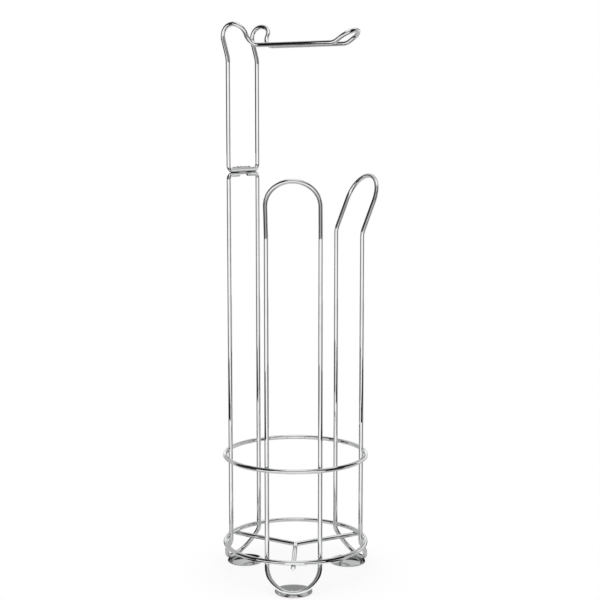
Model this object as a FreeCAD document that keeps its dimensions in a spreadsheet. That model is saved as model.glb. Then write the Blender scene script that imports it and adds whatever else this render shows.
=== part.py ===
import FreeCAD
import Part
import Sketcher
import math
import os

# Free-standing wire stand that stores toilet rolls in a column and carries one more on an arm.
# Millimetres, +Z up, origin on the floor on the axis of the two rings; the roll arm points to -Y.
doc = FreeCAD.newDocument("roll_stand")

# Driving sizes, in millimetres and degrees
sizes = {
    # steel wire, and how deep crossing wires are welded into each other
    "wire_dia": 5.0,
    "weld_set": 0.4,
    "weld_clearance": 0.05,
    # three wire loops round the roll column
    "loop_width": 57.0,
    "loop_offset": 68.0,
    "loop_top": 443.5,
    "low_flare": 30.0,
    "low_bend": 10.0,
    "top_flare": 23.0,
    "top_bend": 20.0,
    "top_leg": 33.6,
    # rear loop: its two wire ends are bent in under the arm frame's bar
    "rear_top": 445.5,
    "bar_corner": 5.5,
    "end_gap": 16.4,
    "end_round": 1.2,
    # rings round the loops and spokes under the rolls
    "ring_rise": 1.5,
    "ring_gap": 100.0,
    "spoke_overhang": 4.0,
    # arm frame with its gooseneck, step and hairpin arm
    "overall_height": 610.0,
    "neck_lean": 16.0,
    "neck_bend": 30.0,
    "neck_leg": 17.3,
    "neck_radius": 12.5,
    "step_radius": 12.5,
    "step_drop": 22.3,
    "arm_width": 27.0,
    "arm_reach": 55.5,
    "tip_angle": 33.0,
    "tip_bend": 15.0,
    "tip_leg": 5.1,
    # weld behind the joint of the arm frame's bar and the rear loop's ends
    "weld_length": 40.0,
    "weld_inset": 0.6,
    "weld_depth": 3.6,
    "weld_rise": 5.6,
    "weld_drop": 2.9,
    "weld_round": 1.2,
    # domed feet and the pads in them
    "foot_radius": 20.5,
    "foot_inset": 15.6,
    "foot_lift": 0.5,
    "foot_edge": 1.2,
    "foot_round": 0.5,
    "dome_rise": 2.7,
    "recess_radius": 15.0,
    "recess_depth": 1.5,
    "pad_clearance": 0.2,
    "pad_round": 0.3,
}

sheet = doc.addObject("Spreadsheet::Sheet", "sizes")
for row, (alias, value) in enumerate(sizes.items(), start=1):
    sheet.set(f"A{row}", alias)
    sheet.set(f"B{row}", str(value))
    sheet.setAlias(f"B{row}", alias)
doc.recompute()

# Sizes that follow from the sheet, as expressions
half_width = "(sizes.loop_width / 2)"
half_arm = "(sizes.arm_width / 2)"
wire_radius = "(sizes.wire_dia / 2)"
notch_dia = "(sizes.wire_dia + 2 * sizes.weld_clearance)"
weld_pitch = "(sizes.wire_dia - sizes.weld_set)"

# U at the bottom of each loop: it lies on the dome of its foot
low_tangent = "(sizes.low_bend * tan(sizes.low_flare / 2))"
u_reach = f"({low_tangent} + {half_width})"
u_out = f"(sizes.loop_offset + {u_reach} * sin(sizes.low_flare))"
foot_out = f"({u_out} - sizes.foot_inset)"
dome_radius = "((sizes.foot_radius ^ 2 + sizes.dome_rise ^ 2) / (2 * sizes.dome_rise))"
dome_seat = f"(sqrt({dome_radius} ^ 2 - sizes.foot_inset ^ 2) - {dome_radius} + sizes.dome_rise)"
u_low = f"(sizes.foot_lift + sizes.foot_edge + {dome_seat} + {wire_radius} - sizes.weld_set)"
low_vertex = f"({u_low} + {u_reach} * cos(sizes.low_flare))"
upright_low = f"({low_vertex} + {low_tangent})"
u_centre_y = f"(sizes.loop_offset + {low_tangent} * sin(sizes.low_flare))"
u_centre_z = f"({low_vertex} - {low_tangent} * cos(sizes.low_flare))"

# Flared arch at the top of a storage loop
top_tangent = "(sizes.top_bend * tan(sizes.top_flare / 2))"
arch_reach = f"({top_tangent} + sizes.top_leg + {half_width})"
top_vertex = f"(sizes.loop_top - {arch_reach} * cos(sizes.top_flare))"
flare_start = f"({top_vertex} - {top_tangent})"
leg_y = f"(sizes.loop_offset + {top_tangent} * sin(sizes.top_flare))"
leg_z = f"({top_vertex} + {top_tangent} * cos(sizes.top_flare))"
arch_y = f"({leg_y} + sizes.top_leg * sin(sizes.top_flare))"
arch_z = f"({leg_z} + sizes.top_leg * cos(sizes.top_flare))"

# Rings and spokes
lower_ring_z = f"({upright_low} + sizes.ring_rise)"
upper_ring_z = f"({lower_ring_z} + sizes.ring_gap)"
ring_radius = f"(hypot(sizes.loop_offset; {half_width}) + {weld_pitch})"
spoke_z = f"({lower_ring_z} - {weld_pitch})"

# Arm frame: its bottom bar lies on the rear loop's two ends
bar_half = f"({half_width} - sizes.bar_corner)"
end_half = "(sizes.end_gap / 2)"
frame_low = "(sizes.rear_top + sizes.wire_dia + sizes.weld_clearance)"
seam_z = f"((sizes.rear_top + {frame_low}) / 2)"
neck_top = f"(sizes.overall_height - {wire_radius})"
neck_z = f"({neck_top} - sizes.neck_radius)"
neck_tangent = "(sizes.neck_bend * tan(sizes.neck_lean / 2))"
neck_end_z = f"({neck_z} - sizes.neck_radius * sin(sizes.neck_lean))"
neck_vertex = f"({neck_end_z} - ({neck_tangent} + sizes.neck_leg) * cos(sizes.neck_lean))"
lean_start = f"({neck_vertex} - {neck_tangent})"
lean_y = f"(sizes.loop_offset + {neck_tangent} * sin(sizes.neck_lean))"
lean_z = f"({neck_vertex} + {neck_tangent} * cos(sizes.neck_lean))"
neck_end_y = f"({lean_y} + sizes.neck_leg * sin(sizes.neck_lean))"
neck_y = f"({neck_end_y} - sizes.neck_radius * cos(sizes.neck_lean))"

# Step from the gooseneck down and inward to the arm: two equal arcs in one oblique plane
step_in = f"({half_width} - {half_arm})"
step_side = f"hypot({step_in}; sizes.step_drop)"
step_turn = f"acos(1 - {step_side} / (2 * sizes.step_radius))"
step_slant = f"atan2({step_in}; sizes.step_drop)"
step_x = f"(sizes.step_radius * {step_in} / {step_side})"
step_z = f"(sizes.step_radius * sizes.step_drop / {step_side})"
arm_z = f"({neck_top} - sizes.step_drop)"
arm_start = f"({neck_y} - 2 * sizes.step_radius * sin({step_turn}))"

# Raised round tip of the arm
tip_tangent = "(sizes.tip_bend * tan(sizes.tip_angle / 2))"
tip_start = f"({tip_tangent} - sizes.arm_reach)"
tip_leg_y = f"(-sizes.arm_reach - {tip_tangent} * cos(sizes.tip_angle))"
tip_leg_z = f"({arm_z} + {tip_tangent} * sin(sizes.tip_angle))"
tip_y = f"({tip_leg_y} - sizes.tip_leg * cos(sizes.tip_angle))"
tip_z = f"({tip_leg_z} + sizes.tip_leg * sin(sizes.tip_angle))"

# Three sides of the stand, a third of a turn apart; the rear one is drawn, the others are turned copies
side_count = 3
full_turn = 360
quarter_turn = 90
side_turns = {
    "rear": 0,
    "left": full_turn / side_count,
    "right": -full_turn / side_count,
}

zero_point = FreeCAD.Vector(0, 0, 0)
x_direction = FreeCAD.Vector(1, 0, 0)
z_direction = FreeCAD.Vector(0, 0, 1)

# Sketcher's numbers for the origin, the two axes and the points of a curve
sketch_x_axis, sketch_y_axis = -1, -2
start_point, end_point, centre_point = 1, 2, 3

nodes = []


def new_body(label, turn=0):
    """Body of one piece, turned about the axis of the stand."""
    body = doc.addObject("PartDesign::Body", label)
    body.Label = label
    body.Placement = FreeCAD.Placement(zero_point, FreeCAD.Rotation(z_direction, turn))
    nodes.append(body)
    return body


def origin_feature(body, role):
    """Plane or axis of the body's own origin."""
    return next(item for item in body.Origin.OriginFeatures if item.Role == role)


def new_sketch(body, name, role, base=(), axis=z_direction, angle=None):
    """Sketch on an origin plane, moved to base and turned by angle about axis, all in that plane's frame."""
    sketch = body.newObject("Sketcher::SketchObject", name)
    sketch.AttachmentSupport = [(origin_feature(body, role), "")]
    sketch.MapMode = "FlatFace"
    if angle is not None:
        sketch.AttachmentOffset = FreeCAD.Placement(zero_point, FreeCAD.Rotation(axis, quarter_turn))
        sketch.setExpression("AttachmentOffset.Rotation.Angle", angle)
    for letter, place in zip("xyz", base):
        sketch.setExpression(f"AttachmentOffset.Base.{letter}", place)
    return sketch


def constrain(sketch, *rule, size=None):
    """Constraint on the sketch; size binds its value to an expression."""
    if size is None:
        sketch.addConstraint(Sketcher.Constraint(*rule))
        return
    value = float(sketch.evalExpression(size))
    number = sketch.addConstraint(Sketcher.Constraint(*rule, value))
    sketch.setExpression(f"Constraints[{number}]", size)


def place_point(sketch, curve, point, x, y):
    """Point of a curve at x, y from the sketch's origin; None keeps it on the axis."""
    if x is None:
        constrain(sketch, "PointOnObject", curve, point, sketch_y_axis)
    else:
        constrain(sketch, "DistanceX", sketch_x_axis, start_point, curve, point, size=x)
    if y is None:
        constrain(sketch, "PointOnObject", curve, point, sketch_x_axis)
    else:
        constrain(sketch, "DistanceY", sketch_x_axis, start_point, curve, point, size=y)


def add_circle(sketch, diameter, x=None, y=None):
    """Circle in the sketch, with its diameter and its centre bound to expressions."""
    curve = sketch.addGeometry(Part.Circle(zero_point, z_direction, 1.0), False)
    place_point(sketch, curve, centre_point, x, y)
    constrain(sketch, "Diameter", curve, size=diameter)
    return sketch


def wire_section(body, name, role, base=(), axis=z_direction, angle=None, x=None, y=None):
    """Round section of the wire, ready to be padded or revolved."""
    sketch = new_sketch(body, f"{name}_section", role, base, axis, angle)
    return add_circle(sketch, "sizes.wire_dia", x, y)


def straight(body, name, sketch, length):
    """Straight stretch of wire."""
    pad = body.newObject("PartDesign::Pad", name)
    pad.Profile = sketch
    pad.setExpression("Length", length)
    return pad


def bend(body, name, sketch, axis, angle, backward=False):
    """Bent stretch of wire, round an axis of its section's sketch."""
    turn = body.newObject("PartDesign::Revolution", name)
    turn.Profile = sketch
    turn.ReferenceAxis = (sketch, [axis])
    turn.setExpression("Angle", str(angle))
    turn.Reversed = backward
    return turn


def mirror(body, features):
    """Other half of the wire, across the YZ plane."""
    twin = body.newObject("PartDesign::Mirrored", "other_half")
    twin.Originals = features
    twin.MirrorPlane = (origin_feature(body, "YZ_Plane"), [""])
    body.Tip = twin
    return twin


def lower_half(body, upright_top):
    """Half of a loop from the top of its upright down to the middle of its U."""
    low = (half_width, "sizes.loop_offset", upright_low)
    hinge = (half_width, "sizes.loop_offset + sizes.low_bend", upright_low)
    u_centre = (u_centre_y, u_centre_z)
    section = wire_section(body, "upright", "XY_Plane", low)
    upright = straight(body, "upright", section, f"{upright_top} - {upright_low}")
    section = wire_section(body, "low_bend", "XY_Plane", hinge, y="-sizes.low_bend")
    low_bend = bend(body, "low_bend", section, "H_Axis", "sizes.low_flare")
    section = wire_section(
        body, "u_bend", "YZ_Plane", u_centre, z_direction, "sizes.low_flare", y=f"-{half_width}"
    )
    u_bend = bend(body, "u_bend", section, "H_Axis", quarter_turn, backward=True)
    return [upright, low_bend, u_bend]


# Storage loops: one closed wire each, with a flared arch at the top and a flared U at the bottom
for side in ("left", "right"):
    body = new_body(f"{side}_loop", side_turns[side])
    wire = lower_half(body, flare_start)
    hinge = (half_width, "sizes.loop_offset + sizes.top_bend", flare_start)
    section = wire_section(body, "top_bend", "XY_Plane", hinge, y="-sizes.top_bend")
    wire.append(bend(body, "top_bend", section, "H_Axis", "sizes.top_flare", backward=True))
    base = (half_width, leg_y, leg_z)
    section = wire_section(body, "top_leg", "XY_Plane", base, x_direction, "-sizes.top_flare")
    wire.append(straight(body, "top_leg", section, "sizes.top_leg"))
    section = wire_section(
        body, "arch", "YZ_Plane", (arch_y, arch_z), z_direction, "-sizes.top_flare", y=half_width
    )
    wire.append(bend(body, "arch", section, "H_Axis", quarter_turn))
    mirror(body, wire)

# Rear loop: the same U, but straight uprights with their ends bent in towards each other at the top
body = new_body("rear_loop", side_turns["rear"])
corner_z = "(sizes.rear_top - sizes.bar_corner)"
wire = lower_half(body, corner_z)
hinge = (bar_half, "sizes.loop_offset", corner_z)
section = wire_section(body, "top_corner", "XY_Plane", hinge, x="sizes.bar_corner")
wire.append(bend(body, "top_corner", section, "V_Axis", quarter_turn, backward=True))
base = ("sizes.loop_offset", "sizes.rear_top", end_half)
section = wire_section(body, "top_end", "YZ_Plane", base)
wire.append(straight(body, "top_end", section, f"{bar_half} - {end_half}"))
twin = mirror(body, wire)
doc.recompute()
faces = enumerate(twin.Shape.Faces, start=1)
cut_ends = [f"Face{number}" for number, face in faces if isinstance(face.Surface, Part.Plane)]
rounded = body.newObject("PartDesign::Fillet", "rounded_ends")
rounded.Base = (twin, cut_ends)
rounded.setExpression("Radius", "sizes.end_round")
body.Tip = rounded

# Arm frame: one wire from the bottom bar up over the gooseneck, down the step and out along the arm
body = new_body("arm_frame")
wire = []
section = wire_section(body, "bottom_bar", "YZ_Plane", ("sizes.loop_offset", frame_low))
wire.append(straight(body, "bottom_bar", section, bar_half))
corner_z = f"({frame_low} + sizes.bar_corner)"
hinge = (bar_half, "sizes.loop_offset", corner_z)
section = wire_section(body, "low_corner", "XY_Plane", hinge, x="sizes.bar_corner")
wire.append(bend(body, "low_corner", section, "V_Axis", quarter_turn))
base = (half_width, "sizes.loop_offset", corner_z)
section = wire_section(body, "post", "XY_Plane", base)
wire.append(straight(body, "post", section, f"{lean_start} - {corner_z}"))
hinge = (half_width, "sizes.loop_offset + sizes.neck_bend", lean_start)
section = wire_section(body, "lean_bend", "XY_Plane", hinge, y="-sizes.neck_bend")
wire.append(bend(body, "lean_bend", section, "H_Axis", "sizes.neck_lean", backward=True))
base = (half_width, lean_y, lean_z)
section = wire_section(body, "lean_leg", "XY_Plane", base, x_direction, "-sizes.neck_lean")
wire.append(straight(body, "lean_leg", section, "sizes.neck_leg"))
hinge = (half_width, neck_z, f"-{neck_y}")
section = wire_section(body, "gooseneck", "XZ_Plane", hinge, y="sizes.neck_radius")
neck_turn = f"sizes.neck_lean + {quarter_turn}"
wire.append(bend(body, "gooseneck", section, "H_Axis", neck_turn, backward=True))
hinge = (f"{half_width} - {step_x}", f"{neck_top} - {step_z}", f"-{neck_y}")
section = wire_section(
    body, "step_over", "XZ_Plane", hinge, z_direction, f"-{step_slant}", y="sizes.step_radius"
)
wire.append(bend(body, "step_over", section, "H_Axis", step_turn))
hinge = (f"{half_arm} + {step_x}", f"{arm_z} + {step_z}", f"-{arm_start}")
section = wire_section(
    body, "step_under", "XZ_Plane", hinge, z_direction, f"-{step_slant}", y="-sizes.step_radius"
)
wire.append(bend(body, "step_under", section, "H_Axis", step_turn))
base = (half_arm, arm_z, f"-{arm_start}")
section = wire_section(body, "arm", "XZ_Plane", base)
wire.append(straight(body, "arm", section, f"{arm_start} - {tip_start}"))
hinge = (half_arm, f"{arm_z} + sizes.tip_bend", f"-{tip_start}")
section = wire_section(body, "tip_bend", "XZ_Plane", hinge, y="-sizes.tip_bend")
wire.append(bend(body, "tip_bend", section, "H_Axis", "sizes.tip_angle", backward=True))
base = (half_arm, tip_leg_z, f"-{tip_leg_y}")
section = wire_section(body, "tip_leg", "XZ_Plane", base, x_direction, "-sizes.tip_angle")
wire.append(straight(body, "tip_leg", section, "sizes.tip_leg"))
tip_tilt = f"{quarter_turn} - sizes.tip_angle"
section = wire_section(body, "tip", "YZ_Plane", (tip_y, tip_z), z_direction, tip_tilt, y=half_arm)
wire.append(bend(body, "tip", section, "H_Axis", quarter_turn))
mirror(body, wire)

# Rings: closed wire circles outside the six uprights, set into them at the welds
for label, height in (("lower_ring", lower_ring_z), ("upper_ring", upper_ring_z)):
    body = new_body(label)
    section = wire_section(body, "ring", "XZ_Plane", x=ring_radius, y=height)
    bend(body, "ring", section, "V_Axis", full_turn)
    notches = new_sketch(body, "weld_notches", "XY_Plane")
    add_circle(notches, notch_dia, half_width, "sizes.loop_offset")
    add_circle(notches, notch_dia, f"-{half_width}", "sizes.loop_offset")
    pocket = body.newObject("PartDesign::Pocket", "weld_pocket")
    pocket.Profile = notches
    pocket.Type = "ThroughAll"
    pocket.Reversed = True
    pattern = body.newObject("PartDesign::PolarPattern", "weld_pattern")
    pattern.Originals = [pocket]
    pattern.Axis = (origin_feature(body, "Z_Axis"), [""])
    pattern.Angle = full_turn
    pattern.Occurrences = side_count
    body.Tip = pattern

# Spokes: straight wires under the lower ring, mitred where the three meet on the axis
for side, turn in side_turns.items():
    body = new_body(f"{side}_spoke", turn)
    section = wire_section(body, "spoke", "XZ_Plane", y=spoke_z)
    spoke = straight(body, "spoke", section, f"{ring_radius} + sizes.spoke_overhang")
    spoke.Reversed = True
    doc.recompute()
    faces = spoke.Shape.Faces
    outer = max(range(len(faces)), key=lambda number: faces[number].CenterOfMass.y)
    rounded = body.newObject("PartDesign::Fillet", "rounded_end")
    rounded.Base = (spoke, [f"Face{outer + 1}"])
    rounded.setExpression("Radius", "sizes.end_round")
    mitre = new_sketch(body, "mitre_outline", "XY_Plane")
    for hand in (1, -1):
        reach = f"{hand} * sizes.wire_dia"
        rise = f"sizes.wire_dia / tan({full_turn} / (2 * {side_count}))"
        corner = FreeCAD.Vector(hand, 0, 0)
        peak = FreeCAD.Vector(hand, 1, 0)
        base_line = mitre.addGeometry(Part.LineSegment(zero_point, corner), False)
        side_line = mitre.addGeometry(Part.LineSegment(corner, peak), False)
        slant_line = mitre.addGeometry(Part.LineSegment(peak, zero_point), False)
        constrain(mitre, "Coincident", base_line, end_point, side_line, start_point)
        constrain(mitre, "Coincident", side_line, end_point, slant_line, start_point)
        constrain(mitre, "Coincident", slant_line, end_point, base_line, start_point)
        place_point(mitre, base_line, start_point, None, None)
        place_point(mitre, side_line, start_point, reach, None)
        place_point(mitre, slant_line, start_point, reach, rise)
    pocket = body.newObject("PartDesign::Pocket", "mitre")
    pocket.Profile = mitre
    pocket.Type = "ThroughAll"
    pocket.Reversed = True
    saddle = new_sketch(body, "ring_saddle", "YZ_Plane")
    add_circle(saddle, notch_dia, ring_radius, lower_ring_z)
    groove = body.newObject("PartDesign::Groove", "ring_groove")
    groove.Profile = saddle
    groove.ReferenceAxis = (saddle, ["V_Axis"])
    groove.Angle = full_turn
    body.Tip = groove

# Feet: shallow domed discs with a recess underneath, saddled for the U that lies on them
for side, turn in side_turns.items():
    body = new_body(f"{side}_foot", turn)
    outline = new_sketch(body, "dome_outline", "YZ_Plane", (foot_out, "sizes.foot_lift"))
    crown_height = sizes["foot_edge"] + sizes["dome_rise"]
    recess_mouth = FreeCAD.Vector(sizes["recess_radius"], 0, 0)
    recess_corner = FreeCAD.Vector(sizes["recess_radius"], sizes["recess_depth"], 0)
    recess_middle = FreeCAD.Vector(0, sizes["recess_depth"], 0)
    rim_low = FreeCAD.Vector(sizes["foot_radius"], 0, 0)
    rim_high = FreeCAD.Vector(sizes["foot_radius"], sizes["foot_edge"], 0)
    shoulder = FreeCAD.Vector(sizes["recess_radius"], (sizes["foot_edge"] + crown_height) / 2, 0)
    crown = FreeCAD.Vector(0, crown_height, 0)
    rim_face = outline.addGeometry(Part.LineSegment(recess_mouth, rim_low), False)
    edge = outline.addGeometry(Part.LineSegment(rim_low, rim_high), False)
    dome = outline.addGeometry(Part.Arc(rim_high, shoulder, crown), False)
    axis_line = outline.addGeometry(Part.LineSegment(crown, recess_middle), False)
    recess_roof = outline.addGeometry(Part.LineSegment(recess_middle, recess_corner), False)
    recess_wall = outline.addGeometry(Part.LineSegment(recess_corner, recess_mouth), False)
    loop = [rim_face, edge, dome, axis_line, recess_roof, recess_wall]
    for line, following in zip(loop, loop[1:] + loop[:1]):
        constrain(outline, "Coincident", line, end_point, following, start_point)
    place_point(outline, rim_face, start_point, "sizes.recess_radius", None)
    place_point(outline, edge, start_point, "sizes.foot_radius", None)
    constrain(outline, "Vertical", edge)
    constrain(outline, "DistanceY", edge, start_point, edge, end_point, size="sizes.foot_edge")
    place_point(outline, axis_line, start_point, None, "sizes.foot_edge + sizes.dome_rise")
    constrain(outline, "PointOnObject", dome, centre_point, sketch_y_axis)
    place_point(outline, recess_roof, start_point, None, "sizes.recess_depth")
    constrain(outline, "Horizontal", recess_roof)
    constrain(outline, "Vertical", recess_wall)
    disc = bend(body, "disc", outline, "V_Axis", full_turn)
    doc.recompute()
    half_way = math.pi * (sizes["recess_radius"] + sizes["foot_radius"])
    edges = enumerate(disc.Shape.Edges, start=1)
    rim = [f"Edge{number}" for number, line in edges if line.Length > half_way]
    rounded = body.newObject("PartDesign::Fillet", "rounded_rim")
    rounded.Base = (disc, rim)
    rounded.setExpression("Radius", "min(sizes.foot_round; 0.4 * sizes.foot_edge)")
    u_centre = (u_centre_y, u_centre_z)
    saddle = new_sketch(body, "wire_saddle", "YZ_Plane", u_centre, z_direction, "sizes.low_flare")
    add_circle(saddle, notch_dia, y=f"-{half_width}")
    groove = body.newObject("PartDesign::Groove", "wire_groove")
    groove.Profile = saddle
    groove.ReferenceAxis = (saddle, ["H_Axis"])
    groove.Angle = full_turn / 2
    groove.Midplane = True
    body.Tip = groove

# Pads: soft discs that fill the recesses and stand a little proud of the feet
for side, turn in side_turns.items():
    body = new_body(f"{side}_pad", turn)
    disc_outline = new_sketch(body, "pad_outline", "XY_Plane")
    add_circle(disc_outline, "2 * (sizes.recess_radius - sizes.pad_clearance)", y=foot_out)
    disc = straight(body, "disc", disc_outline, "sizes.foot_lift + sizes.recess_depth")
    doc.recompute()
    faces = disc.Shape.Faces
    under = min(range(len(faces)), key=lambda number: faces[number].CenterOfMass.z)
    rounded = body.newObject("PartDesign::Fillet", "rounded_rim")
    rounded.Base = (disc, [f"Face{under + 1}"])
    rounded.setExpression("Radius", "sizes.pad_round")
    body.Tip = rounded

# Joint weld: one run of weld metal behind the arm frame's bar and the rear loop's two ends
body = new_body("joint_weld")
run = new_sketch(body, "run_outline", "YZ_Plane", ("sizes.loop_offset + sizes.weld_inset", seam_z))
low_front = FreeCAD.Vector(0, -sizes["weld_drop"], 0)
low_back = FreeCAD.Vector(sizes["weld_depth"], -sizes["weld_drop"], 0)
high_back = FreeCAD.Vector(sizes["weld_depth"], sizes["weld_rise"], 0)
high_front = FreeCAD.Vector(0, sizes["weld_rise"], 0)
under = run.addGeometry(Part.LineSegment(low_front, low_back), False)
back = run.addGeometry(Part.LineSegment(low_back, high_back), False)
over = run.addGeometry(Part.LineSegment(high_back, high_front), False)
front = run.addGeometry(Part.LineSegment(high_front, low_front), False)
loop = [under, back, over, front]
for line, following in zip(loop, loop[1:] + loop[:1]):
    constrain(run, "Coincident", line, end_point, following, start_point)
constrain(run, "Horizontal", under)
constrain(run, "Vertical", back)
place_point(run, under, start_point, None, "-sizes.weld_drop")
place_point(run, over, start_point, "sizes.weld_depth", "sizes.weld_rise")
place_point(run, front, start_point, None, "sizes.weld_rise")
bar = straight(body, "run", run, "sizes.weld_length")
bar.Midplane = True
doc.recompute()
rounded = body.newObject("PartDesign::Fillet", "rounded_run")
rounded.Base = (bar, [f"Edge{number}" for number, line in enumerate(bar.Shape.Edges, start=1)])
rounded.setExpression("Radius", "sizes.weld_round")
body.Tip = rounded
upper = new_sketch(body, "bar_outline", "YZ_Plane")
add_circle(upper, notch_dia, "sizes.loop_offset", frame_low)
pocket = body.newObject("PartDesign::Pocket", "bar_notch")
pocket.Profile = upper
pocket.setExpression("Length", "2 * sizes.weld_length")
pocket.Midplane = True
body.Tip = pocket
base = ("sizes.loop_offset", "sizes.rear_top", f"{end_half} - sizes.weld_clearance")
lower = add_circle(new_sketch(body, "end_outline", "YZ_Plane", base), notch_dia)
pocket = body.newObject("PartDesign::Pocket", "end_notch")
pocket.Profile = lower
pocket.setExpression("Length", "sizes.weld_length")
pocket.Reversed = True
mirror(body, [pocket])

doc.recompute()

# Checks before anything is written
for item in doc.Objects:
    if "Invalid" in item.State or "Error" in item.State:
        raise RuntimeError(f"{item.Label} failed: {item.State}")
    if item.TypeId in ("PartDesign::Pocket", "PartDesign::Groove"):
        if item.Shape.Volume >= item.BaseFeature.Shape.Volume:
            raise RuntimeError(f"{item.Label} cuts nothing")
for body in nodes:
    shape = body.Shape
    if shape.isNull() or not shape.isValid() or len(shape.Solids) != 1:
        raise RuntimeError(f"{body.Label} is not one valid solid")

os.makedirs("parts", exist_ok=True)
for body in nodes:
    body.Shape.exportStep(f"parts/{body.Label}.step")
    box = body.Shape.BoundBox
    print(
        f"{body.Label:12s} volume {body.Shape.Volume:9.2f}"
        f"  x {box.XMin:8.2f} {box.XMax:8.2f}"
        f"  y {box.YMin:8.2f} {box.YMax:8.2f}"
        f"  z {box.ZMin:8.2f} {box.ZMax:8.2f}"
    )
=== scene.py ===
import math
import bmesh
import bpy
from mathutils import Matrix, Vector, noise


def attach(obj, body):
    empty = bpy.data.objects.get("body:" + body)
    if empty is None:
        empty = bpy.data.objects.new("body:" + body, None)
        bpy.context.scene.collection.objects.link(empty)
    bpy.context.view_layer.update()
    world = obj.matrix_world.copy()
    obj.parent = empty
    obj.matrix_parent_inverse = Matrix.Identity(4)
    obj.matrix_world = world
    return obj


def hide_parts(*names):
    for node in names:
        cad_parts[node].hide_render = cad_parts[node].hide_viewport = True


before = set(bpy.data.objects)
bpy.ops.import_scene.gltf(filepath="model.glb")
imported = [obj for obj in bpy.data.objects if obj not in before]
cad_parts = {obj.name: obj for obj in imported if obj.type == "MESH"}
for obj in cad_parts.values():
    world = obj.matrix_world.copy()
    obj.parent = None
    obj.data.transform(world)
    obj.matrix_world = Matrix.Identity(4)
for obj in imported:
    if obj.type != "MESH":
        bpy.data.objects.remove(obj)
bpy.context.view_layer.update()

# Storage loops: each is one length of 5 mm steel wire, bent to a flared arch at the top and a flared U at
# the bottom and closed into a loop, then plated bright. They stand a third of a turn to either side of
# the rear loop, welded to both rings and to their feet.
wire_radius = 0.0025
plated_radius = 0.002485
loop_half = 0.0285
loop_offset = 0.068
loop_top = 0.4435
low_flare = math.radians(30)
low_bend = 0.010
low_reach = low_bend * math.tan(low_flare / 2) + loop_half
u_low = 0.00495
low_vertex = u_low + low_reach * math.cos(low_flare)
top_flare = math.radians(23)
top_bend = 0.020
top_leg = 0.0336
arch_reach = top_bend * math.tan(top_flare / 2) + top_leg + loop_half
top_vertex = loop_top - arch_reach * math.cos(top_flare)
third_turn = math.radians(120)
quarter_turn = [math.radians(15 * k) for k in range(7)]


def bent_path(corners, closed=True, arc_step=math.radians(3), run_step=0.005):
    """Points along a wire: straight runs joined by arcs, from (corner, bend radius) pairs."""
    touching = 1e-6
    arcs = []
    last = len(corners) - 1
    for place, (corner, radius) in enumerate(corners):
        if not closed and place in (0, last):
            arcs.append([corner])
            continue
        before = (corners[place - 1][0] - corner).normalized()
        after = (corners[(place + 1) % len(corners)][0] - corner).normalized()
        turn = math.pi - before.angle(after)
        reach = radius * math.tan(turn / 2)
        centre = corner + (before + after).normalized() * (radius / math.cos(turn / 2))
        start = corner + before * reach - centre
        finish = corner + after * reach - centre
        axis = start.cross(finish).normalized()
        steps = max(4, math.ceil(turn / arc_step))
        arcs.append([centre + Matrix.Rotation(turn * k / steps, 3, axis) @ start for k in range(steps + 1)])
    path = []
    for place, arc in enumerate(arcs):
        path += [point for point in arc if not path or (point - path[-1]).length > touching]
        if closed or place < last:
            run = arcs[(place + 1) % len(arcs)][0] - path[-1]
            steps = max(1, round(run.length / run_step))
            path += [path[-1] + run * (k / steps) for k in range(1, steps)]
    if closed and (path[0] - path[-1]).length < touching:
        path.pop()
    return path


def shaped(name, points, faces):
    """A piece from its points and faces, shaded smooth."""
    mesh = bpy.data.meshes.new(name)
    mesh.from_pydata(points, [], faces)
    mesh.polygons.foreach_set("use_smooth", [True] * len(mesh.polygons))
    piece = bpy.data.objects.new(name, mesh)
    bpy.context.scene.collection.objects.link(piece)
    return piece


def drawn_wire(name, path, closed=True, end_round=0.0, sides=32):
    """Round wire along a path, with its unrolled surface in millimetres as UV; open ends are rounded over."""
    path = list(path)
    radii = [plated_radius] * len(path)
    if not closed:
        for end, inward in ((0, 1), (-1, -2)):
            along = (path[inward] - path[end]).normalized()
            tip = path[end].copy()
            path[end] = tip + along * end_round
            for angle in quarter_turn[1:]:
                spot = len(path) if end else 0
                path.insert(spot, tip + along * end_round * (1 - math.sin(angle)))
                radii.insert(spot, plated_radius - end_round * (1 - math.cos(angle)))
    count = len(path)
    tangents = []
    for k in range(count):
        ahead = (k + 1) % count if closed else min(k + 1, count - 1)
        behind = k - 1 if closed else max(k - 1, 0)
        tangents.append((path[ahead] - path[behind]).normalized())
    across = [tangents[0].orthogonal().normalized()]
    for k in range(1, count + 1):
        turn = tangents[k - 1].rotation_difference(tangents[k % count])
        across.append((turn @ across[-1]).normalized())
    twist = 0.0
    if closed:
        twist = math.atan2(across[-1].cross(across[0]).dot(tangents[0]), across[-1].dot(across[0]))
    length = [0.0]
    for k in range(count):
        length.append(length[-1] + (path[(k + 1) % count] - path[k]).length)
    points = []
    for k in range(count):
        side = Matrix.Rotation(twist * k / count, 3, tangents[k]) @ across[k]
        up = tangents[k].cross(side)
        for j in range(sides):
            angle = 2 * math.pi * j / sides
            points.append(path[k] + (side * math.cos(angle) + up * math.sin(angle)) * radii[k])
    faces = []
    unrolled = []
    girth = 2000 * math.pi * plated_radius
    for k in range(count if closed else count - 1):
        here, there = k * sides, (k + 1) % count * sides
        low, high = length[k] * 1000, length[k + 1] * 1000
        for j in range(sides):
            beside = (j + 1) % sides
            faces.append((here + j, here + beside, there + beside, there + j))
            left, right = girth * j / sides, girth * (j + 1) / sides
            unrolled += [(left, low), (right, low), (right, high), (left, high)]
    if not closed:
        faces += [tuple(reversed(range(sides))), tuple(range((count - 1) * sides, count * sides))]
        for cap_strip in (0, 9):
            unrolled += [(girth * j / sides, cap_strip) for j in range(sides)]
    wire = shaped(name, points, faces)
    layer = wire.data.uv_layers.new(name="unrolled")
    for corner, spot in enumerate(unrolled):
        layer.data[corner].uv = spot
    return wire


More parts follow.
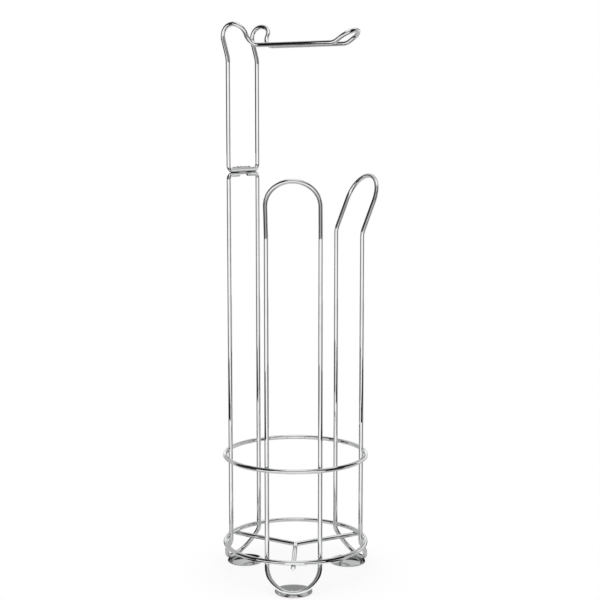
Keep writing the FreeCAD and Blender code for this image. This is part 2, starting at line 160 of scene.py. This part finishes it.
def clouds(nodes, links, place, scale, detail):
    """Soft noise read at a place on the piece."""
    cloud = nodes.new("ShaderNodeTexNoise")
    cloud.inputs["Scale"].default_value = scale
    cloud.inputs["Detail"].default_value = detail
    links.new(place, cloud.inputs["Vector"])
    return cloud.outputs["Fac"]


def bright_plating(name, pale, dull, smooth, hazy, ripple, shaded_seam=None, grain=1.0):
    """Chrome plating: faint cloudiness, drawing lines along the wire, pin specks and a slow ripple.
    A shaded seam is the height of a narrow gap; painted shade darkens the base colour close to that height.
    A higher grain makes the clouds and the ripple finer."""
    finish = bpy.data.materials.new(name)
    finish.use_nodes = True
    nodes, links = finish.node_tree.nodes, finish.node_tree.links
    shader = nodes["Principled BSDF"]
    shader.inputs["Metallic"].default_value = 1.0
    spot = nodes.new("ShaderNodeTexCoord")
    tint = nodes.new("ShaderNodeValToRGB")
    tint.color_ramp.elements[0].position = 0.35
    tint.color_ramp.elements[0].color = (*dull, 1)
    tint.color_ramp.elements[1].position = 0.62
    tint.color_ramp.elements[1].color = (*pale, 1)
    links.new(clouds(nodes, links, spot.outputs["Object"], 60.0 * grain, 4.0), tint.inputs["Fac"])
    pins = nodes.new("ShaderNodeMapRange")
    pins.inputs["From Min"].default_value = 0.68
    pins.inputs["From Max"].default_value = 0.76
    links.new(clouds(nodes, links, spot.outputs["Object"], 1400.0, 2.0), pins.inputs["Value"])
    stretch = nodes.new("ShaderNodeMapping")
    stretch.inputs["Scale"].default_value = (3.0, 0.035, 1.0)
    links.new(spot.outputs["UV"], stretch.inputs["Vector"])
    lines = clouds(nodes, links, stretch.outputs["Vector"], 1.0, 3.0)
    gloss = nodes.new("ShaderNodeMapRange")
    gloss.inputs["From Min"].default_value = 0.3
    gloss.inputs["From Max"].default_value = 0.75
    gloss.inputs["To Min"].default_value = smooth
    gloss.inputs["To Max"].default_value = hazy
    links.new(lines, gloss.inputs["Value"])
    pitted = nodes.new("ShaderNodeMath")
    pitted.operation = "MULTIPLY_ADD"
    pitted.inputs[1].default_value = 0.18
    links.new(pins.outputs["Result"], pitted.inputs[0])
    links.new(gloss.outputs["Result"], pitted.inputs[2])
    wave = nodes.new("ShaderNodeBump")
    wave.inputs["Strength"].default_value = 1.0
    wave.inputs["Distance"].default_value = ripple
    links.new(clouds(nodes, links, spot.outputs["Object"], 45.0 * grain, 1.0), wave.inputs["Height"])
    draw = nodes.new("ShaderNodeBump")
    draw.inputs["Strength"].default_value = 0.5
    draw.inputs["Distance"].default_value = 0.000004
    links.new(lines, draw.inputs["Height"])
    links.new(wave.outputs["Normal"], draw.inputs["Normal"])
    tinted = tint.outputs["Color"]
    # Painted shade along the seam: the base colour is darkened to a twentieth within 0.3 mm of its height and
    # comes back over the next millimetre.
    if shaded_seam is not None:
        place = nodes.new("ShaderNodeSeparateXYZ")
        links.new(spot.outputs["Object"], place.inputs["Vector"])
        off = nodes.new("ShaderNodeMath")
        off.operation = "SUBTRACT"
        off.inputs[1].default_value = shaded_seam
        links.new(place.outputs["Z"], off.inputs[0])
        clear_of = nodes.new("ShaderNodeMath")
        clear_of.operation = "ABSOLUTE"
        links.new(off.outputs["Value"], clear_of.inputs[0])
        seam_shade = nodes.new("ShaderNodeMapRange")
        seam_shade.interpolation_type = "SMOOTHSTEP"
        seam_shade.inputs["From Min"].default_value = 0.0003
        seam_shade.inputs["From Max"].default_value = 0.0013
        seam_shade.inputs["To Min"].default_value = 0.05
        links.new(clear_of.outputs["Value"], seam_shade.inputs["Value"])
        painted_shade = nodes.new("ShaderNodeMix")
        painted_shade.data_type = "RGBA"
        painted_shade.blend_type = "MULTIPLY"
        painted_shade.inputs["Factor"].default_value = 1.0
        links.new(tint.outputs["Color"], painted_shade.inputs["A"])
        links.new(seam_shade.outputs["Result"], painted_shade.inputs["B"])
        tinted = painted_shade.outputs["Result"]
    links.new(tinted, shader.inputs["Base Color"])
    links.new(pitted.outputs["Value"], shader.inputs["Roughness"])
    links.new(draw.outputs["Normal"], shader.inputs["Normal"])
    return finish


wire_finish = {
    "pale": (0.90, 0.905, 0.91),
    "dull": (0.83, 0.835, 0.845),
    "smooth": 0.03,
    "hazy": 0.075,
    "ripple": 0.00006,
}
wire_chrome = bright_plating("wire_chrome", **wire_finish)


def fit_wire(wire, node, plating=wire_chrome):
    """A wire in its plating, in the place of its solid."""
    wire.data.materials.append(plating)
    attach(wire, "root")
    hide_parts(node)


flare_out = Vector((0, math.sin(top_flare), math.cos(top_flare)))
u_out = Vector((0, math.sin(low_flare), -math.cos(low_flare)))
right_top = Vector((loop_half, loop_offset, top_vertex))
right_low = Vector((loop_half, loop_offset, low_vertex))
to_left = Matrix.Diagonal((-1, 1, 1))
storage_corners = [
    (right_top, top_bend),
    (right_top + flare_out * arch_reach, loop_half),
    (to_left @ (right_top + flare_out * arch_reach), loop_half),
    (to_left @ right_top, top_bend),
    (to_left @ right_low, low_bend),
    (to_left @ (right_low + u_out * low_reach), loop_half),
    (right_low + u_out * low_reach, loop_half),
    (right_low, low_bend),
]
for side, turn in (("left", third_turn), ("right", -third_turn)):
    about_axis = Matrix.Rotation(turn, 3, "Z")
    path = bent_path([(about_axis @ corner, radius) for corner, radius in storage_corners])
    fit_wire(drawn_wire(f"{side}_storage_loop", path), f"{side}_loop")

# Rear loop: the same wire and the same U, but with straight uprights whose two ends are bent in towards
# each other at the top. They are welded under the arm frame's bar, and the loop to both rings and its foot.
bar_corner = 0.0055
rear_top = 0.4455
end_half = 0.0082
end_round = 0.0012
right_end = Vector((end_half, loop_offset, rear_top))
right_bar = Vector((loop_half, loop_offset, rear_top))
rear_corners = [
    (right_end, 0),
    (right_bar, bar_corner),
    (right_low, low_bend),
    (right_low + u_out * low_reach, loop_half),
    (to_left @ (right_low + u_out * low_reach), loop_half),
    (to_left @ right_low, low_bend),
    (to_left @ right_bar, bar_corner),
    (to_left @ right_end, 0),
]
seam_height = rear_top + wire_radius
# This plating has painted shade along the seam where the arm frame's bar lies on the rear loop's ends.
shaded_joint_chrome = bright_plating("shaded_joint_chrome", **wire_finish, shaded_seam=seam_height)
rear_path = bent_path(rear_corners, closed=False)
rear_wire = drawn_wire("tall_rear_loop", rear_path, closed=False, end_round=end_round)
fit_wire(rear_wire, "rear_loop", shaded_joint_chrome)

# Arm frame: one plated wire that rises from a bar on the rear loop, leans back, goes over a gooseneck, steps
# down and inward and runs out as a hairpin arm with a raised round tip. Its bar is welded to the two ends of
# the rear loop that it lies on.
overall_height = 0.6100
seat_gap = 0.00005
frame_low = rear_top + 2 * wire_radius + seat_gap
neck_top = overall_height - wire_radius
neck_lean = math.radians(16)
neck_bend = 0.030
neck_leg = 0.0173
neck_radius = 0.0125
step_radius = 0.0125
step_drop = 0.0223
arm_half = 0.0135
arm_reach = 0.0555
tip_angle = math.radians(33)
tip_bend = 0.015
tip_leg = 0.0051
lean_up = Vector((0, math.sin(neck_lean), math.cos(neck_lean)))
lean_run = neck_bend * math.tan(neck_lean / 2) + neck_leg
neck_foot = neck_top - neck_radius * (1 + math.sin(neck_lean)) - lean_run * math.cos(neck_lean)
neck_corner = neck_radius * math.tan((math.pi / 2 + neck_lean) / 2)
over_neck = Vector((loop_half, loop_offset, neck_foot)) + lean_up * (lean_run + neck_corner)
step_side = math.hypot(loop_half - arm_half, step_drop)
step_turn = math.acos(1 - step_side / (2 * step_radius))
step_corner = step_radius * math.tan(step_turn / 2)
neck_end = over_neck.y - neck_corner
arm_start = neck_end - 2 * step_radius * math.sin(step_turn)
arm_height = neck_top - step_drop
tip_out = Vector((0, -math.cos(tip_angle), math.sin(tip_angle)))
tip_vertex = Vector((arm_half, -arm_reach, arm_height))
tip_reach = tip_bend * math.tan(tip_angle / 2) + tip_leg + arm_half
right_side = [
    (Vector((loop_half, loop_offset, frame_low)), bar_corner),
    (Vector((loop_half, loop_offset, neck_foot)), neck_bend),
    (over_neck, neck_radius),
    (Vector((loop_half, neck_end - step_corner, neck_top)), step_radius),
    (Vector((arm_half, arm_start + step_corner, arm_height)), step_radius),
    (tip_vertex, tip_bend),
    (tip_vertex + tip_out * tip_reach, arm_half),
]
left_side = [(to_left @ corner, radius) for corner, radius in reversed(right_side)]
fit_wire(drawn_wire("roll_arm_frame", bent_path(right_side + left_side)), "arm_frame", shaded_joint_chrome)

# Rings: two circles of the same plated wire outside the six uprights, each butt welded shut and pressed into
# the uprights where the welding current joins them.
weld_set = 0.0004
ring_clear = 0.0015
ring_spacing = 0.100
ring_steps = 240
upright_out = math.hypot(loop_offset, loop_half)
ring_radius = upright_out + 2 * wire_radius - weld_set
lower_ring_height = low_vertex + low_bend * math.tan(low_flare / 2) + ring_clear
upper_ring_height = lower_ring_height + ring_spacing
for name, node, height in (
    ("base_ring", "lower_ring", lower_ring_height),
    ("middle_ring", "upper_ring", upper_ring_height),
):
    path = []
    for k in range(ring_steps):
        angle = 2 * math.pi * k / ring_steps
        path.append(Vector((ring_radius * math.sin(angle), ring_radius * math.cos(angle), height)))
    fit_wire(drawn_wire(name, path), node)

# Spokes: three straight plated wires that make the base, welded under the lower ring. Their outer ends are
# rounded and stand a little past the ring; their inner ends are cut to a point and welded on the axis.
spoke_overhang = 0.004
spoke_start = 0.0015
spoke_runs = 16
spoke_sides = 32
sharp_angle = math.radians(40)
spoke_height = lower_ring_height - 2 * wire_radius + weld_set
spoke_length = ring_radius + spoke_overhang
spoke_straight = spoke_length - end_round
stations = []
for k in range(1, spoke_runs):
    stations.append((spoke_start + (spoke_straight - spoke_start) * k / spoke_runs, wire_radius))
for angle in quarter_turn:
    along = spoke_straight + end_round * math.sin(angle)
    stations.append((along, wire_radius - end_round * (1 - math.cos(angle))))


def unroll(piece, spot_of):
    """UV in millimetres for a piece, from the number of each vertex."""
    layer = piece.data.uv_layers.new(name="unrolled")
    for corner in piece.data.loops:
        layer.data[corner.index].uv = spot_of(corner.vertex_index)


spoke_points, spoke_faces = [], []
for j in range(spoke_sides):
    angle = 2 * math.pi * j / spoke_sides
    sideways = wire_radius * math.cos(angle)
    mitre = abs(sideways) / math.tan(third_turn / 2)
    spoke_points.append(Vector((sideways, mitre, spoke_height + wire_radius * math.sin(angle))))
for along, radius in stations:
    for j in range(spoke_sides):
        angle = 2 * math.pi * j / spoke_sides
        height = spoke_height + radius * math.sin(angle)
        spoke_points.append(Vector((radius * math.cos(angle), along, height)))
for k in range(len(stations)):
    here, there = k * spoke_sides, (k + 1) * spoke_sides
    for j in range(spoke_sides):
        beside = (j + 1) % spoke_sides
        spoke_faces.append((here + beside, here + j, there + j, there + beside))
outer_end = len(stations) * spoke_sides
quarter = spoke_sides // 4
spoke_faces.append(tuple(reversed(range(outer_end, outer_end + spoke_sides))))
spoke_faces.append(tuple(range(3 * quarter, spoke_sides)) + tuple(range(quarter + 1)))
spoke_faces.append(tuple(range(quarter, 3 * quarter + 1)))
spoke_girth = 2000 * math.pi * wire_radius
for side, turn in (("rear", 0.0), ("left", third_turn), ("right", -third_turn)):
    about_axis = Matrix.Rotation(turn, 3, "Z")
    spoke = shaped(f"{side}_base_spoke", [about_axis @ point for point in spoke_points], spoke_faces)
    unroll(spoke, lambda n: (spoke_girth * (n % spoke_sides) / spoke_sides, 1000 * spoke_points[n].y))
    spoke.data.set_sharp_from_angle(angle=sharp_angle)
    fit_wire(spoke, f"{side}_spoke")

# Feet: shallow domes pressed from sheet and plated like the wire, with a recess underneath. The U of each
# loop is welded to the outer half of its dome.
foot_radius = 0.0205
foot_lift = 0.0005
foot_edge = 0.0012
foot_round = 0.00048
foot_inset = 0.0156
dome_rise = 0.0027
dome_steps = 24
recess_radius = 0.015
recess_depth = 0.0015
recess_roof = foot_lift + recess_depth
u_bottom = loop_offset + low_reach * math.sin(low_flare)
foot_out = u_bottom - foot_inset
foot_chrome = bright_plating(
    "foot_chrome", pale=(0.74, 0.745, 0.75), dull=(0.64, 0.645, 0.655), smooth=0.05, hazy=0.11, ripple=0.00005
)


def turned(name, profile, centre, sides=128):
    """Closed shape of revolution about a vertical axis, from (radius, height) points."""
    points, faces = [], []
    for radius, height in profile[1:-1]:
        for j in range(sides):
            angle = 2 * math.pi * j / sides
            points.append((centre.x + radius * math.cos(angle), centre.y + radius * math.sin(angle), height))
    top, bottom = len(points), len(points) + 1
    points.append((centre.x, centre.y, profile[0][1]))
    points.append((centre.x, centre.y, profile[-1][1]))
    last = len(profile) - 3
    for j in range(sides):
        beside = (j + 1) % sides
        faces.append((top, j, beside))
        faces.append((bottom, last * sides + beside, last * sides + j))
        for k in range(last):
            here, there = k * sides, (k + 1) * sides
            faces.append((here + j, there + j, there + beside, here + beside))
    shape = shaped(name, points, faces)
    unroll(shape, lambda n: (1000 * points[n][0], 1000 * points[n][1]))
    shape.data.set_sharp_from_angle(angle=sharp_angle)
    return shape


dome_radius = (foot_radius ** 2 + dome_rise ** 2) / (2 * dome_rise)
crown = foot_lift + foot_edge + dome_rise
dome_profile = []
for k in range(dome_steps + 1):
    across = (foot_radius - foot_round) * k / dome_steps
    dome_profile.append((across, crown - dome_radius + math.sqrt(dome_radius ** 2 - across ** 2)))
rim_top = dome_profile[-1][1] - foot_round
rim_core = foot_radius - foot_round
for angle in quarter_turn[1:]:
    dome_profile.append((rim_core + foot_round * math.sin(angle), rim_top + foot_round * math.cos(angle)))
for angle in quarter_turn:
    low_edge = foot_lift + foot_round * (1 - math.sin(angle))
    dome_profile.append((rim_core + foot_round * math.cos(angle), low_edge))
dome_profile += [(recess_radius, foot_lift), (recess_radius, recess_roof), (0.0, recess_roof)]
for side, turn in (("rear", 0.0), ("left", third_turn), ("right", -third_turn)):
    centre = Matrix.Rotation(turn, 3, "Z") @ Vector((0, foot_out, 0))
    foot = turned(f"{side}_domed_foot", dome_profile, centre)
    foot.data.materials.append(foot_chrome)
    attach(foot, "root")
    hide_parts(f"{side}_foot")

# Pads: soft discs pressed into the undersides of the feet, so that the metal doesn't touch the floor.
# They are moulded in matt rubber with a fine grain.
pad_rubber = bpy.data.materials.new("pad_rubber")
pad_rubber.use_nodes = True
nodes, links = pad_rubber.node_tree.nodes, pad_rubber.node_tree.links
shader = nodes["Principled BSDF"]
spot = nodes.new("ShaderNodeTexCoord")
rubber_grain = clouds(nodes, links, spot.outputs["Object"], 900.0, 6.0)
shade = nodes.new("ShaderNodeValToRGB")
shade.color_ramp.elements[0].color = (0.012, 0.012, 0.013, 1)
shade.color_ramp.elements[1].color = (0.045, 0.045, 0.047, 1)
links.new(rubber_grain, shade.inputs["Fac"])
links.new(shade.outputs["Color"], shader.inputs["Base Color"])
matt = nodes.new("ShaderNodeMapRange")
matt.inputs["To Min"].default_value = 0.55
matt.inputs["To Max"].default_value = 0.9
links.new(rubber_grain, matt.inputs["Value"])
links.new(matt.outputs["Result"], shader.inputs["Roughness"])
pebble = nodes.new("ShaderNodeBump")
pebble.inputs["Strength"].default_value = 0.6
pebble.inputs["Distance"].default_value = 0.00005
links.new(rubber_grain, pebble.inputs["Height"])
links.new(pebble.outputs["Normal"], shader.inputs["Normal"])
for side in ("rear", "left", "right"):
    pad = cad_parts[f"{side}_pad"]
    pad.data.materials.clear()
    pad.data.materials.append(pad_rubber)

# Joint weld: one lumpy run of weld metal behind the arm frame's bar and the rear loop's two ends, laid in
# short overlapping steps and plated over with the rest of the stand.
weld_half = 0.020
weld_inset = 0.0006
weld_depth = 0.0036
weld_rise = 0.0056
weld_drop = 0.0029
weld_pitch = 0.0031
weld_steps = 160
weld_sides = 40
plain_share = 0.86
scallop_share = 0.07
lump_share = 0.13
lumps_per_metre = 420
crests_per_metre = 300
scallop_crest = 0.0008
lump_crest = 0.0014
weld_chrome = bright_plating(
    "weld_chrome",
    pale=(0.90, 0.90, 0.905),
    dull=(0.17, 0.17, 0.175),
    smooth=0.06,
    hazy=0.16,
    ripple=0.0011,
    grain=8.0,
)
weld_back = loop_offset + weld_inset + weld_depth / 2
weld_middle = Vector((0, weld_back, seam_height + (weld_rise - weld_drop) / 2))
points, faces = [], []
for k in range(weld_steps + 1):
    along = -weld_half + 2 * weld_half * k / weld_steps
    ends = max(0.02, 1 - (abs(along) / weld_half) ** 8) ** 0.5
    scallop = abs(math.sin(along * math.pi / weld_pitch))
    ridge = max(0.0, noise.noise(Vector((along * crests_per_metre, 5, 2))))
    for j in range(weld_sides):
        angle = 2 * math.pi * j / weld_sides
        back, up = math.cos(angle), math.sin(angle)
        squared = (back ** 4 + up ** 4) ** -0.25
        lump = noise.noise(Vector((along * lumps_per_metre, back * 1.6, up * 1.6 + 3)))
        swell = ends * squared * (plain_share + scallop_share * scallop + lump_share * lump)
        crest = max(0.0, up) ** 2 * ends * (scallop_crest * scallop + lump_crest * ridge)
        depth = back * swell * weld_depth / 2
        height = up * swell * (weld_rise + weld_drop) / 2 + crest
        points.append(weld_middle + Vector((along, depth, height)))
for k in range(weld_steps):
    here, there = k * weld_sides, (k + 1) * weld_sides
    for j in range(weld_sides):
        beside = (j + 1) % weld_sides
        faces.append((here + j, here + beside, there + beside, there + j))
last_row = weld_steps * weld_sides
faces += [tuple(reversed(range(weld_sides))), tuple(range(last_row, last_row + weld_sides))]
weld = shaped("bar_joint_weld", points, faces)
weld.data.materials.append(weld_chrome)
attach(weld, "root")
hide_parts("joint_weld")

# Crossing welds: small collars of squeezed metal where the rings and spokes are resistance welded, and short
# fillets of weld metal where each U lies on its foot. They are plated over with the rest.
collar_half = 0.0021
collar_depth = 0.0009
fillet_half = 0.0062
fillet_rise = 0.0007
fillet_lift = 0.0004
unevenness = 0.16
upright_lean = math.atan2(loop_half, loop_offset)
upward = Vector((0, 0, 1))


def weld_spots(name, spots, sides=20, rows=12):
    """Small uneven lumps, each from its centre and its three half-axes."""
    points, faces = [], []
    for centre, along, across, up in spots:
        first = len(points)
        for k in range(1, rows):
            rise = math.pi * (k / rows - 0.5)
            for j in range(sides):
                angle = 2 * math.pi * j / sides
                a, b, c = math.cos(rise) * math.cos(angle), math.cos(rise) * math.sin(angle), math.sin(rise)
                lump = 1 + unevenness * noise.noise(Vector((a, b, c)) * 2.2 + centre * 400)
                points.append(centre + (along * a + across * b + up * c) * lump)
        under, over = len(points), len(points) + 1
        points += [centre - up, centre + up]
        top_row = first + (rows - 2) * sides
        for j in range(sides):
            beside = (j + 1) % sides
            faces.append((under, first + beside, first + j))
            faces.append((over, top_row + j, top_row + beside))
            for k in range(rows - 2):
                low, high = first + k * sides, first + (k + 1) * sides
                faces.append((low + j, low + beside, high + beside, high + j))
    lumps = shaped(name, points, faces)
    lumps.data.materials.append(weld_chrome)
    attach(lumps, "root")


def outward(turn):
    """Level direction from the axis, a turn away from the rear."""
    return Matrix.Rotation(turn, 3, "Z") @ Vector((0, 1, 0))


for name, height in (("base_ring_welds", lower_ring_height), ("middle_ring_welds", upper_ring_height)):
    spots = []
    for turn in (0.0, third_turn, -third_turn):
        for lean in (upright_lean, -upright_lean):
            out = outward(turn + lean)
            centre = out * (upright_out + wire_radius - weld_set / 2) + upward * height
            spots.append((centre, out * collar_depth, upward.cross(out) * collar_half, upward * collar_half))
    weld_spots(name, spots)
spoke_spots, foot_spots = [], []
for turn in (0.0, third_turn, -third_turn):
    out = outward(turn)
    beside = upward.cross(out)
    centre = out * ring_radius + upward * (lower_ring_height - wire_radius + weld_set / 2)
    spoke_spots.append((centre, out * collar_half, beside * collar_half, upward * collar_depth))
    centre = out * u_bottom + upward * (u_low - wire_radius + fillet_lift)
    foot_spots.append((centre, out * collar_half, beside * fillet_half, upward * fillet_rise))
weld_spots("spoke_welds", spoke_spots)
weld_spots("foot_welds", foot_spots)

# Studio floor: a plain white sheet under the stand that keeps its soft shadow and fades into the white
# surroundings. It isn't part of the stand.
table_radius = 0.17
floor_white = bpy.data.materials.new("floor_white")
floor_white.use_nodes = True
nodes, links = floor_white.node_tree.nodes, floor_white.node_tree.links
nodes.remove(nodes["Principled BSDF"])
sheet = nodes.new("ShaderNodeBsdfDiffuse")
sheet.inputs["Color"].default_value = (0.90, 0.90, 0.90, 1)
glow = nodes.new("ShaderNodeEmission")
spot = nodes.new("ShaderNodeTexCoord")
away = nodes.new("ShaderNodeVectorMath")
away.operation = "LENGTH"
links.new(spot.outputs["Object"], away.inputs[0])
fade = nodes.new("ShaderNodeMapRange")
fade.interpolation_type = "SMOOTHERSTEP"
fade.inputs["From Min"].default_value = 0.05
fade.inputs["From Max"].default_value = 0.165
fade.inputs["To Min"].default_value = 0.80
links.new(away.outputs["Value"], fade.inputs["Value"])


def plain_sight(nodes, links):
    """1 where the background is looked at directly, in polished metal or through something clear."""
    path_of_light = nodes.new("ShaderNodeLightPath")
    seen = nodes.new("ShaderNodeMath")
    seen.operation = "MAXIMUM"
    links.new(path_of_light.outputs["Is Camera Ray"], seen.inputs[0])
    links.new(path_of_light.outputs["Is Glossy Ray"], seen.inputs[1])
    clear = nodes.new("ShaderNodeMath")
    clear.operation = "MAXIMUM"
    links.new(seen.outputs["Value"], clear.inputs[0])
    links.new(path_of_light.outputs["Is Transmission Ray"], clear.inputs[1])
    return clear.outputs["Value"]


share = nodes.new("ShaderNodeMath")
share.operation = "MULTIPLY"
links.new(fade.outputs["Result"], share.inputs[0])
links.new(plain_sight(nodes, links), share.inputs[1])
mixed = nodes.new("ShaderNodeMixShader")
links.new(share.outputs["Value"], mixed.inputs["Fac"])
links.new(sheet.outputs["BSDF"], mixed.inputs[1])
links.new(glow.outputs["Emission"], mixed.inputs[2])
links.new(mixed.outputs["Shader"], nodes["Material Output"].inputs["Surface"])
board = bmesh.new()
bmesh.ops.create_circle(board, cap_ends=True, segments=128, radius=table_radius)
mesh = bpy.data.meshes.new("studio_table")
board.to_mesh(mesh)
board.free()
mesh.materials.append(floor_white)
table = bpy.data.objects.new("studio_table", mesh)
bpy.context.scene.collection.objects.link(table)

# Studio cards: dark, grey and pale sheets of card round the stand and on the floor beside it. They give the
# plating its dark and light lines, as is usual with polished metal, and show in reflections only.
camera_place = Vector((-1.2259, -0.7604, 0.505))
camera_bearing = math.atan2(camera_place.y, camera_place.x)
card_steps = 24
card_rows = 10


def card_directions(turn):
    """Level directions across a range of degrees, counted from the camera's side towards its right."""
    for k in range(card_steps + 1):
        bearing = camera_bearing + math.radians(turn[0] + (turn[1] - turn[0]) * k / card_steps)
        yield Vector((math.cos(bearing), math.sin(bearing), 0))


def plain_card(name, rows, tone):
    """One sheet of card through rows of points."""
    card_tone = bpy.data.materials.new(f"{name}_tone")
    card_tone.use_nodes = True
    tree = card_tone.node_tree
    tree.nodes.remove(tree.nodes["Principled BSDF"])
    flat = tree.nodes.new("ShaderNodeEmission")
    flat.inputs["Color"].default_value = (tone, tone, tone, 1)
    tree.links.new(flat.outputs["Emission"], tree.nodes["Material Output"].inputs["Surface"])
    tall = len(rows[0])
    faces = []
    for k in range(len(rows) - 1):
        for j in range(tall - 1):
            first = k * tall + j
            faces.append((first, first + tall, first + tall + 1, first + 1))
    card = shaped(name, [point for row in rows for point in row], faces)
    card.data.materials.append(card_tone)
    card.visible_camera = False
    card.visible_diffuse = False
    card.visible_transmission = False
    card.visible_shadow = False


def studio_card(name, turn, rise, tone, distance=2.0, centre_height=0.25):
    """Curved card round the stand; turn is its range of degrees round, and rise from the level."""
    rows = []
    for out in card_directions(turn):
        row = []
        for j in range(card_rows + 1):
            slope = math.radians(rise[0] + (rise[1] - rise[0]) * j / card_rows)
            height = centre_height + distance * math.sin(slope)
            row.append(out * (distance * math.cos(slope)) + upward * height)
        rows.append(row)
    plain_card(name, rows, tone)


studio_card("card_front", (-26, 44), (13, 36), 0.29)
studio_card("card_front_high", (-26, 44), (36, 60), 0.46)
studio_card("card_left_strip", (-104, -62), (-28, 20), 0.012)
studio_card("card_left_strip_high", (-110, -26), (20, 72), 0.008)
studio_card("card_left", (-155, -104), (-28, 20), 0.50)
studio_card("card_left_high", (-155, -110), (20, 70), 0.48)
studio_card("card_right_strip", (46, 80), (-28, 22), 0.012)
studio_card("card_right_strip_high", (42, 84), (20, 72), 0.008, distance=0.45, centre_height=0.42)
studio_card("card_left_near", (-152, -112), (12, 40), 0.008, distance=0.3, centre_height=0.40)
studio_card("card_right_side", (80, 112), (-28, 12), 0.50)
studio_card("card_right", (112, 205), (-28, -6), 0.50)
studio_card("card_right_streak", (112, 205), (-6, 12), 0.95)
studio_card("card_right_mid", (80, 205), (12, 22), 0.42)
studio_card("card_right_high", (46, 155), (22, 52), 0.48)
studio_card("card_back_high", (155, 205), (22, 75), 0.68)
studio_card("card_low_front", (-42, 42), (-85, -28), 0.42)
studio_card("card_low_left", (-110, -42), (-85, -28), 0.50)
studio_card("card_low_right", (42, 110), (-85, -28), 0.50)
studio_card("card_low_back", (110, 250), (-85, -28), 0.58)


def foot_flag(name, foot_turn, turn, edges, tone, reach=0.055):
    """Low card bent round one foot, between the heights of its lower and upper edge."""
    middle = outward(foot_turn) * foot_out
    rows = [[middle + out * reach + upward * edge for edge in edges] for out in card_directions(turn)]
    plain_card(name, rows, tone)


foot_flag("card_foot_left", third_turn, (-118, -22), (0.004, 0.031), 0.005)
foot_flag("card_foot_right", third_turn, (22, 118), (0.004, 0.031), 0.005)
foot_flag("card_foot_behind", third_turn, (135, 225), (0.0, 0.036), 0.34)
foot_flag("card_right_foot_behind", -third_turn, (95, 190), (0.0, 0.034), 0.01)
foot_flag("card_rear_foot_behind", 0, (-200, -95), (0.0, 0.034), 0.01)


def level_card(name, middle, turn, edges, tone):
    """Level card between its nearer and farther distance from a point."""
    rows = [[middle + out * edge for edge in edges] for out in card_directions(turn)]
    plain_card(name, rows, tone)


legs_card_height = 0.16
beside_legs = outward(third_turn) * loop_offset + upward * legs_card_height
level_card("card_legs_left", beside_legs, (-110, -42), (0.06, 0.46), 0.02)
level_card("card_legs_right", beside_legs, (42, 110), (0.06, 0.46), 0.02)
floor_card_height = 0.0001
on_floor = upward * floor_card_height
level_card("card_floor_left", on_floor, (-110, -42), (0.0, 0.24), 0.52)
level_card("card_floor_right", on_floor, (42, 110), (0.0, 0.24), 0.52)
level_card("card_floor_back", on_floor, (110, 250), (0.0, 0.24), 0.58)

# Studio light: an even white surround with two large soft lamps, one to each side of the camera and well
# above it. The lamps don't show in the plating.
lamp_side = 1.4
lamp_distance = 1.9
lamp_aim = Vector((0, 0, 0.3))
world = bpy.data.worlds.new("studio_surround")
bpy.context.scene.world = world
world.use_nodes = True
nodes, links = world.node_tree.nodes, world.node_tree.links
white = nodes["Background"]
white.inputs["Color"].default_value = (1, 1, 1, 1)
white.inputs["Strength"].default_value = 1.0
soft = nodes.new("ShaderNodeBackground")
soft.inputs["Color"].default_value = (1, 1, 1, 1)
soft.inputs["Strength"].default_value = 0.75
mixed = nodes.new("ShaderNodeMixShader")
links.new(plain_sight(nodes, links), mixed.inputs["Fac"])
links.new(soft.outputs["Background"], mixed.inputs[1])
links.new(white.outputs["Background"], mixed.inputs[2])
links.new(mixed.outputs["Shader"], nodes["World Output"].inputs["Surface"])
for name, turn, rise, power in (("softbox_left", -14, 56, 8.0), ("softbox_right", 16, 62, 6.0)):
    lamp = bpy.data.lights.new(name, "AREA")
    lamp.shape = "RECTANGLE"
    lamp.size = lamp_side
    lamp.size_y = lamp_side
    lamp.energy = power
    softbox = bpy.data.objects.new(name, lamp)
    bearing = camera_bearing + math.radians(turn)
    slope = math.radians(rise)
    level_part = Vector((math.cos(bearing), math.sin(bearing), 0)) * math.cos(slope)
    softbox.location = lamp_aim + (level_part + upward * math.sin(slope)) * lamp_distance
    softbox.rotation_euler = (lamp_aim - softbox.location).to_track_quat("-Z", "Y").to_euler()
    softbox.visible_glossy = False
    bpy.context.scene.collection.objects.link(softbox)

# Camera: a long lens some way off, at about the height of the arm frame, turned to the stand and a little
# down as in the photograph.
camera_tilt = 7.733
camera_turn = -58.39
camera = bpy.data.cameras.new("camera")
camera.sensor_width = 36.0
camera.lens = 79.494
viewpoint = bpy.data.objects.new("camera", camera)
viewpoint.location = camera_place
viewpoint.rotation_euler = (math.radians(90 - camera_tilt), 0, math.radians(camera_turn))
bpy.context.scene.collection.objects.link(viewpoint)
bpy.context.scene.camera = viewpoint
bpy.context.scene.view_settings.view_transform = "Standard"
